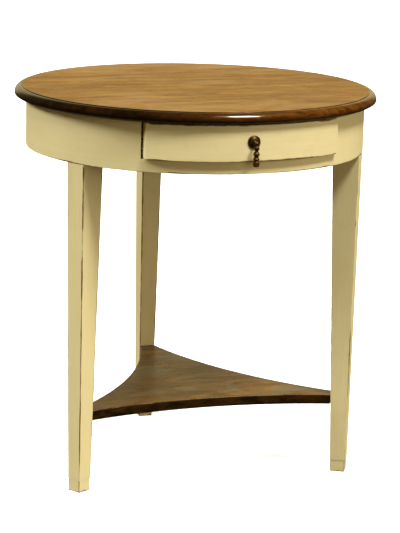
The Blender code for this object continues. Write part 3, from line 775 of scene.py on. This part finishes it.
def make_apron(material):
    spans = {
        "apron_left": (at_angle(-180, 1), at_angle(-60, -1), (0, 1)),
        "apron_right": (at_angle(60, 1), at_angle(180, -1), (0, 1)),
        "front_stile_left": (at_angle(-60, 1), at_x(-OPENING_HALF), (0,)),
        "front_stile_right": (at_x(OPENING_HALF), at_angle(60, -1), (1,)),
    }
    for name, (start, end, square) in spans.items():
        mesh = ring_piece(name, start, end, APRON_BOTTOM, APRON_TOP, APRON_THICKNESS, apron_wear, square,
                          flush=beside_rail)
        add_painted(name, mesh, material)


def beside_rail(point):
    """Both ends of an apron piece are flush where the rail under the drawer may meet them."""
    return (0, 1) if point.z < RAIL_TOP - APRON_BOTTOM + 0.0015 else ()


def make_rail(material):
    half = OPENING_HALF - HAIRLINE
    mesh = ring_piece("drawer_rail", at_x(-half), at_x(half), APRON_BOTTOM, RAIL_TOP, APRON_THICKNESS,
                      apron_wear, (0, 1))
    add_painted("drawer_rail", mesh, material)


def prism_mesh(name, outline, low_x, high_x):
    """A closed outline of (y, z) points, anticlockwise from +X, made solid between two X places."""
    bm = bmesh.new()
    ends = [[bm.verts.new((x, y, z)) for y, z in outline] for x in (low_x, high_x)]
    bm.faces.new(reversed(ends[0]))
    bm.faces.new(ends[1])
    skin(bm, ends)
    return close_mesh(name, bm)


def box_mesh(name, lowest, highest):
    (x0, y0, z0), (x1, y1, z1) = lowest, highest
    return prism_mesh(name, [(y0, z0), (y1, z0), (y1, z1), (y0, z1)], x0, x1)


def drawer_front_cutters():
    """Dovetail sockets that run out through both ends, the bottom's groove, and the hole for the pull."""
    rear = high("drawer_side_left").y
    start, end = rear - SIDE_SHOULDER + 0.0015, rear - SIDE_LENGTH - GAP
    root, tip = TAIL_ROOT + GAP, TAIL_TIP + GAP
    outside = 0.2
    cutters = []
    for near, far in ((-outside, high("drawer_side_left").x + GAP),
                      (low("drawer_side_right").x - GAP, outside)):
        for level in TAIL_LEVELS:
            outline = [(end, level - tip), (start, level - root), (start, level + root), (end, level + tip)]
            cutters.append(prism_mesh("socket", outline, near, far))
    reach = APRON_RADIUS - FRONT_THICKNESS + GROOVE_DEPTH
    centre = Matrix.Translation((DRAWER_SIDEWAYS, -DRAWER_AJAR, 0))
    lowest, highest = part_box("drawer_bottom")
    disc = cylinder_mesh("groove_disc", reach, lowest.z - GAP, highest.z + GAP, 720, centre)
    span = box_mesh("groove_span", (lowest.x - GAP, -1, 0), (highest.x + GAP, 1, 1))
    shank = cylinder_mesh("shank_hole", SHANK_HOLE, -FRONT_THICKNESS - 0.01, 0.01, 48, PULL)
    return cutters + [boolean_mesh(disc, "INTERSECT", [span]), shank]


def bare_ends_as_gap_shade(mesh):
    """Wears the paint off the drawer front's ends, behind the part that stands out when it is ajar. The bare
    dark wood there also paints the shade in the gap beside the drawer.
    """
    shown = 0.8 * DRAWER_AJAR
    arris = mesh.attributes["arris"].data
    for vertex in mesh.vertices:
        x, y = vertex.co.x - DRAWER_SIDEWAYS, vertex.co.y + DRAWER_AJAR
        if abs(x) > FRONT_HALF - 0.002 and math.hypot(x, y) < APRON_RADIUS - shown:
            arris[vertex.index].value = 1.0


def make_drawer_front(material):
    mesh = ring_piece("drawer_front", at_x(-FRONT_HALF), at_x(FRONT_HALF), FRONT_BOTTOM, FRONT_TOP,
                      FRONT_THICKNESS, drawer_wear, shift=(DRAWER_SIDEWAYS, -DRAWER_AJAR))
    bare_ends_as_gap_shade(mesh)
    mesh = boolean_mesh(mesh, "DIFFERENCE", drawer_front_cutters())
    add_painted("drawer_front", mesh, material, "drawer")


# ------ legs and feet

def leg_size(height):
    """(outer face, width, depth) of a leg at this height."""
    share = min(height / APRON_BOTTOM, 1.0)
    return [floor + (top - floor) * share for floor, top in zip(LEG_FLOOR, LEG_TOP)]


def leg_wear(point):
    """Rubbed most towards the floor, and least on the right leg."""
    low_down = 1 - min(point.z / APRON_BOTTOM, 1.0)
    spared = 0.3 if point.x > 0.1 else 0.0
    return 0.8 + 0.25 * low_down - spared + 0.3 * noise.noise(point * 9)


def leg_block(node, angle, bottom, top, inset, square):
    """A tapered post on its station round the table. Its end below, 0, or above, 1, is left square."""
    turn = about_z(angle)
    size = (LEG_TOP[1], LEG_TOP[2], top - bottom)

    def place(point):
        face, width, depth = leg_size(bottom + point.z)
        sideways = (point.x / size[0] - 0.5) * (width - 2 * inset)
        back = -face + inset + point.y / size[1] * (depth - 2 * inset)
        return turn @ Vector((sideways, back, bottom + point.z))

    return rounded_block(node, size, LEG_ROUNDING, LEG_SPACING, place, ((), (), (square,)), leg_wear, along=2)


def make_legs(material):
    seat = APRON_RADIUS - APRON_THICKNESS - GAP
    outside, bottom, top = 0.4, APRON_BOTTOM - 0.0001, HEIGHT + 0.1
    rebate = lathe_mesh("leg_rebate", [(seat, top), (outside, top), (outside, bottom), (seat, bottom)],
                        720, closed=True)
    for place, angle in LEG_ANGLES.items():
        mesh = leg_block(f"leg_{place}", angle, FOOT_TOP + 0.0002, APRON_TOP, 0.0, 0)
        add_painted(f"leg_{place}", boolean_mesh(mesh, "DIFFERENCE", [rebate]), material)
        foot = leg_block(f"foot_{place}", angle, 0.0, FOOT_TOP, FOOT_INSET, 1)
        add_painted(f"foot_{place}", foot, material)


# ------ shelf

def shelf_outline():
    """Three hollow sides, with a short straight corner at each leg, anticlockwise from above."""
    face, width, depth = leg_size(SHELF_TOP)
    reach = face - depth - GAP
    half = width / 2 - 0.0005
    corners = []
    for place in ("left", "right", "rear"):
        turn = about_z(LEG_ANGLES[place])
        corners.append([(turn @ Vector((side, -reach, 0))).xy for side in (-half, half)])
    outline = []
    for index, (start, corner) in enumerate(corners):
        outline += [start.lerp(corner, share) for share in (0, 0.25, 0.5, 0.75)]
        outline += hollow_side(corner, corners[(index + 1) % 3][0])
    return outline


def hollow_side(start, end, count=72):
    """Points from start up to, but without, end, along an arc that curves in towards the axis."""
    middle = (start + end) / 2
    half = (end - start).length / 2
    radius = (half ** 2 + SHELF_HOLLOW ** 2) / (2 * SHELF_HOLLOW)
    along, inward = (end - start).normalized(), -middle.normalized()
    reach = math.asin(half / radius)
    for index in range(count):
        angle = reach * (2 * index / count - 1)
        dip = SHELF_HOLLOW - radius * (1 - math.cos(angle))
        yield middle + along * radius * math.sin(angle) + inward * dip


def inset_outline(outline, distance):
    """The outline moved in by a distance, with mitred corners."""
    moved = []
    for index, point in enumerate(outline):
        before = (point - outline[index - 1]).normalized()
        after = (outline[(index + 1) % len(outline)] - point).normalized()
        inward = Vector((-before.y - after.y, before.x + after.x)).normalized()
        lean = max(inward.dot(Vector((-after.y, after.x))), 0.3)
        moved.append(point + inward * distance / lean)
    return moved


def make_shelf(material, rounding=0.0016, inmost=0.0035, side_row=0.006):
    outline = shelf_outline()
    rows = [(inmost, SHELF_TOP)]
    for degrees in (0, 18, 36, 54, 72, 90):
        turn = math.radians(degrees)
        rows.append((rounding * (1 - math.sin(turn)), SHELF_TOP - rounding * (1 - math.cos(turn))))
    rows.append((0.0, SHELF_TOP - side_row))
    rows += [(inset, SHELF_TOP + SHELF_BOTTOM - level) for inset, level in reversed(rows)]
    bm = bmesh.new()
    loops = []
    for inset, level in rows:
        loops.append([bm.verts.new((p.x, p.y, level)) for p in inset_outline(outline, inset)])
    for share in (0.97, 0.9, 0.75, 0.5):
        loops.insert(0, [bm.verts.new((v.co.x * share, v.co.y * share, SHELF_TOP)) for v in loops[0]])
        loops.append([bm.verts.new((v.co.x * share, v.co.y * share, SHELF_BOTTOM)) for v in loops[-1]])
    skin(bm, loops)
    for loop in (loops[0], loops[-1]):
        skin(bm, [loop, [bm.verts.new((0, 0, loop[0].co.z))]])

    def fields(point):
        """arris is 1 on a rubbed arris, side is 1 on the dark sides, and deep is 1 towards the left (-X),
        where it paints shade on the stain.
        """
        inset = distance_inside(outline, point)
        down = min(SHELF_TOP - point.z, point.z - SHELF_BOTTOM)
        return {"arris": rise(max(inset, down), ARRIS_FADE, 0.0),
                "side": rise(inset, 0.0012, 0.0) if point.z < SHELF_TOP - 0.0004 else 0.0,
                "deep": rise(-point.x, 0.05, 0.13)}

    names = [f"shelf_board_{place}" for place in ("front", "middle", "back")]
    add_boards(close_mesh("whole_shelf", bm), names, material, fields)


def distance_inside(outline, point):
    """Distance from a point to the nearest stretch of an outline."""
    best = math.inf
    for index, start in enumerate(outline):
        edge = outline[(index + 1) % len(outline)] - start
        share = rise((point.xy - start).dot(edge), 0, edge.length_squared)
        best = min(best, (start + edge * share - point.xy).length)
    return best


# ------ pull

def add_metal(name, mesh, material, rub=lambda point: 0.5, body="drawer"):
    """Shows a turned metal piece. rub(point) says how bright use has rubbed it there, from 0 to 1."""
    store(mesh, "rub", [rub(vertex.co) for vertex in mesh.vertices])
    add_piece(f"{name}_turned", mesh, material, name, body)


def tube_mesh(name, path, radius, sides=20):
    """A wire through (x, z) points in the plane y = 0, with closed ends."""
    bm = bmesh.new()
    rings = []
    for index, (x, z) in enumerate(path):
        before, after = path[max(index - 1, 0)], path[min(index + 1, len(path) - 1)]
        along = Vector((after[0] - before[0], 0, after[1] - before[1])).normalized()
        across = Vector((along.z, 0, -along.x))
        turns = [math.tau * i / sides for i in range(sides)]
        rings.append([bm.verts.new(Vector((x, 0, z)) + radius * (across * math.cos(turn)
                                                                + Vector((0, math.sin(turn), 0))))
                      for turn in turns])
    skin(bm, rings)
    bm.faces.new(rings[0])
    bm.faces.new(rings[-1])
    return close_mesh(name, bm)


def make_backplate(material):
    profile = [(SHANK_HOLE, 0.0042), (0.003, 0.0042), (0.0042, 0.0041), (0.0055, 0.0038), (0.0067, 0.0033),
               (0.0078, 0.0027), (0.0085, 0.0021), (0.0089, 0.0016), (0.0093, 0.0014), (0.0096, 0.0016),
               (0.0099, 0.0019), (0.0103, 0.002), (0.0107, 0.0018), (0.011, 0.0014), (0.0113, 0.001),
               (0.0113, 0.0005), (0.0112, GAP), (SHANK_HOLE, GAP)]
    mesh = lathe_mesh("pull_backplate_turned", profile, 120, PULL, closed=True)

    def rub(point):
        radius = math.hypot(point.x - HINGE.x, point.z - HINGE.z)
        return 0.9 * rise(abs(radius - 0.0104), 0.0008, 0.0) + 0.45 * rise(abs(radius - 0.0055), 0.003, 0.0)

    add_metal("pull_backplate", mesh, material, rub)


def make_post(material):
    """The eye, flattened on two sides and drilled, on its collar and the threaded shank."""
    eye = arc((0.0, HINGE_REACH), 0.003, 0.003, 90, -53, 20)
    collar = [(0.0018, 0.0092), (0.0018, 0.007), (0.0022, 0.0065), (0.0031, 0.0061), (0.0034, 0.0056),
              (0.0036, 0.005), (0.0036, 0.0045), (0.002, 0.0045)]
    end = -FRONT_THICKNESS - 0.008
    thread = [(0.00165 if index % 2 else 0.002, -0.015 - 0.00035 * index) for index in range(34)]
    post = lathe_mesh("pull_post_turned", eye + collar + thread + [(0.0014, end), (0.0, end)], 64)
    half, clear, eye_hole = 0.002, 0.01, 0.0012
    sides = [box_mesh("eye_side", (near, -clear, HINGE_REACH - 0.0035), (far, clear, HINGE_REACH + clear))
             for near, far in ((-clear, -half), (half, clear))]
    turn = Matrix.Translation((0, 0, HINGE_REACH)) @ Matrix.Rotation(math.pi / 2, 4, "Y")
    hole = cylinder_mesh("eye_hole", eye_hole, -clear, clear, 32, turn)
    mesh = boolean_mesh(post, "DIFFERENCE", sides + [hole])
    mesh.transform(PULL)
    add_metal("pull_post", mesh, material, lambda point: 0.6 if point.y < HINGE.y + 0.005 else 0.2)


def make_washer_and_nut(steel, brass):
    radius, ease = 0.006, 0.00025
    top = -FRONT_THICKNESS - 0.0006
    bottom = top - 0.0012
    profile = [(SHANK_HOLE, top), (radius - ease, top), (radius, top - ease), (radius, bottom + ease),
               (radius - ease, bottom), (SHANK_HOLE, bottom)]
    washer = lathe_mesh("pull_washer_turned", profile, 72, PULL, closed=True)
    add_metal("pull_washer", washer, steel)
    top = bottom - GAP
    bottom = top - 0.0032
    blank = cylinder_mesh("pull_nut_turned", 0.0042, bottom, top, 6)
    chamfer = lathe_mesh("nut_chamfer", [(0, top), (0.0037, top), (0.0044, top - 0.0004),
                                         (0.0044, bottom + 0.0004), (0.0037, bottom), (0, bottom)], 48)
    hole = cylinder_mesh("nut_hole", SHANK_HOLE, -0.05, 0, 48)
    nut = boolean_mesh(boolean_mesh(blank, "INTERSECT", [chamfer]), "DIFFERENCE", [hole])
    nut.transform(PULL)
    add_metal("pull_nut", nut, brass)


def make_drop(material):
    """The pendant: a ball, two beads and a barrel, with its wire loop through the post's eye."""
    knob = arc((0.0, -0.0084), 0.005, 0.0046, 90, -54, 16)
    neck = [(0.0028, -0.0126), (0.0027, -0.013), (0.003, -0.0133), (0.0034, -0.0136), (0.0034, -0.0139)]
    bead = arc((0.0, -0.0184), 0.0055, 0.005, 53, -46, 14)
    small_bead = arc((0.0, -0.0268), 0.0055, 0.004, 44, -46, 12)
    barrel = [(0.0043, -0.0302), (0.0049, -0.0305), (0.0054, -0.0311), (0.0056, -0.032), (0.0057, -0.0333),
              (0.0056, -0.0338), (0.0056, -0.0341), (0.0057, -0.0346), (0.0057, -0.0366), (0.0055, -0.0377),
              (0.0051, -0.0388), (0.0043, -0.0396), (0.0033, -0.04), (0.002, -0.0402), (0.0, -0.0403)]
    pendant = lathe_mesh("pull_drop_turned", knob + neck + bead + small_bead + barrel, 96)
    half, corner = 0.0043, 0.001
    right = [(half - corner + x, z - corner) for x, z in arc((0, 0), corner, corner, 90, 0, 8)]
    right += [(half, -0.0025), (0.0042, -0.0036), (0.0039, -0.0047), (0.0034, -0.006), (0.0029, -0.0075)]
    left = [(-x, z) for x, z in reversed(right)]
    over = [(share * (half - corner), 0) for share in (-0.5, 0, 0.5)]
    mesh = boolean_mesh(pendant, "UNION", [tube_mesh("drop_loop", left + over + right, 0.0008)])
    mesh.transform(Matrix.Translation(HINGE))

    def rub(point):
        return rise(math.hypot(point.x - HINGE.x, point.y - HINGE.y), 0.0044, 0.0055)

    add_metal("pull_drop", mesh, material, rub, body="drop_handle")


# ------ screws

SCREW_SHANK, SCREW_ROOT, SCREW_HEAD = 0.0021, 0.0014, 0.0042  # radii
SCREW_HEAD_DEPTH, SCREW_SLOT_TOP, SCREW_POINT, SCREW_PITCH = 0.0026, 0.0014, 0.0042, 0.0006
LEG_SCREW_LENGTH = 0.036


def screw_mesh(name, length, matrix):
    """A slotted wood screw whose shank runs up +Z from the underside of its head."""
    thread_end = length * 0.4
    turns = int((length - SCREW_POINT - thread_end) / SCREW_PITCH)
    profile = [(0.0, length)]
    for index in range(1, turns):
        radius = SCREW_ROOT if index % 2 else SCREW_SHANK * min(1.0, 0.4 + index * 0.2)
        profile.append((radius, length - SCREW_POINT * min(1, index / 4) - SCREW_PITCH * max(0, index - 4)))
    profile += [(SCREW_SHANK, thread_end), (SCREW_SHANK, 0.0), (SCREW_HEAD, 0.0)]
    profile += [(SCREW_HEAD * math.cos(math.radians(a)), -SCREW_HEAD_DEPTH * math.sin(math.radians(a)))
                for a in range(10, 90, 10)]
    body = lathe_mesh(name, profile + [(0.0, -SCREW_HEAD_DEPTH)], 40)
    half, clear = 0.0005, 0.006
    slot = box_mesh("screw_slot", (-half, -clear, -clear), (half, clear, -SCREW_SLOT_TOP))
    mesh = boolean_mesh(body, "DIFFERENCE", [slot])
    mesh.transform(matrix)
    return mesh


def make_screws(material):
    source = random.Random("screw slots")
    for name in [node for node in frame["nodes"] if "screw" in node]:
        lowest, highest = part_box(name)
        middle = (lowest + highest) / 2
        spin = Matrix.Rotation(source.uniform(0, math.pi), 4, "Z")
        if name.startswith("leg"):
            turn = about_z(LEG_ANGLES[name.split("_")[2]])
            side = (turn.inverted() @ middle).x
            seat = -LEG_TOP[0] + LEG_TOP[2] + GAP
            matrix = turn @ Matrix.Translation((side, seat, middle.z)) @ Matrix.Rotation(math.pi / 2, 4, "X")
            length = LEG_SCREW_LENGTH
        else:
            matrix = Matrix.Translation((middle.x, middle.y, lowest.z + SCREW_HEAD_DEPTH))
            length = highest.z - lowest.z - SCREW_HEAD_DEPTH
        mesh = screw_mesh(f"{name}_turned", length, matrix @ spin)
        add_metal(name, mesh, material, body="table_frame")


# ------ pieces carried over from the frame

def carry_over(name, material):
    """Gives a CAD node its material and eased edges."""
    node = frame["nodes"][name]
    node.data.materials.clear()
    node.data.materials.append(material)
    weld = node.modifiers.new("weld", "WELD")
    weld.merge_threshold = 0.00001
    bevel = node.modifiers.new("eased_edges", "BEVEL")
    bevel.width = 0.0006
    bevel.segments = 2
    bevel.limit_method = "ANGLE"
    bevel.angle_limit = math.radians(40)


def main():
    make_camera()
    make_lights()
    make_world()
    make_floor()
    paint = paint_material()
    make_top(top_material())
    make_apron(paint)
    make_rail(paint)
    make_drawer_front(paint)
    make_legs(paint)
    make_shelf(shelf_material())
    along_x = bare_wood_material("bare_wood_across")
    along_y = bare_wood_material("bare_wood_deep", math.pi / 2)
    for name in frame["nodes"]:
        if name.startswith(("drawer_back", "drawer_bottom")):
            carry_over(name, along_x)
        elif name.startswith(("drawer_side", "drawer_runner", "drawer_guide", "drawer_kicker", "drawer_stop",
                              "glue_block", "shelf_dowel")):
            carry_over(name, along_y)
    steel = steel_material()
    brass = brass_material()
    make_backplate(brass)
    make_post(brass)
    make_washer_and_nut(steel, brass)
    make_drop(brass)
    make_screws(steel)


main()
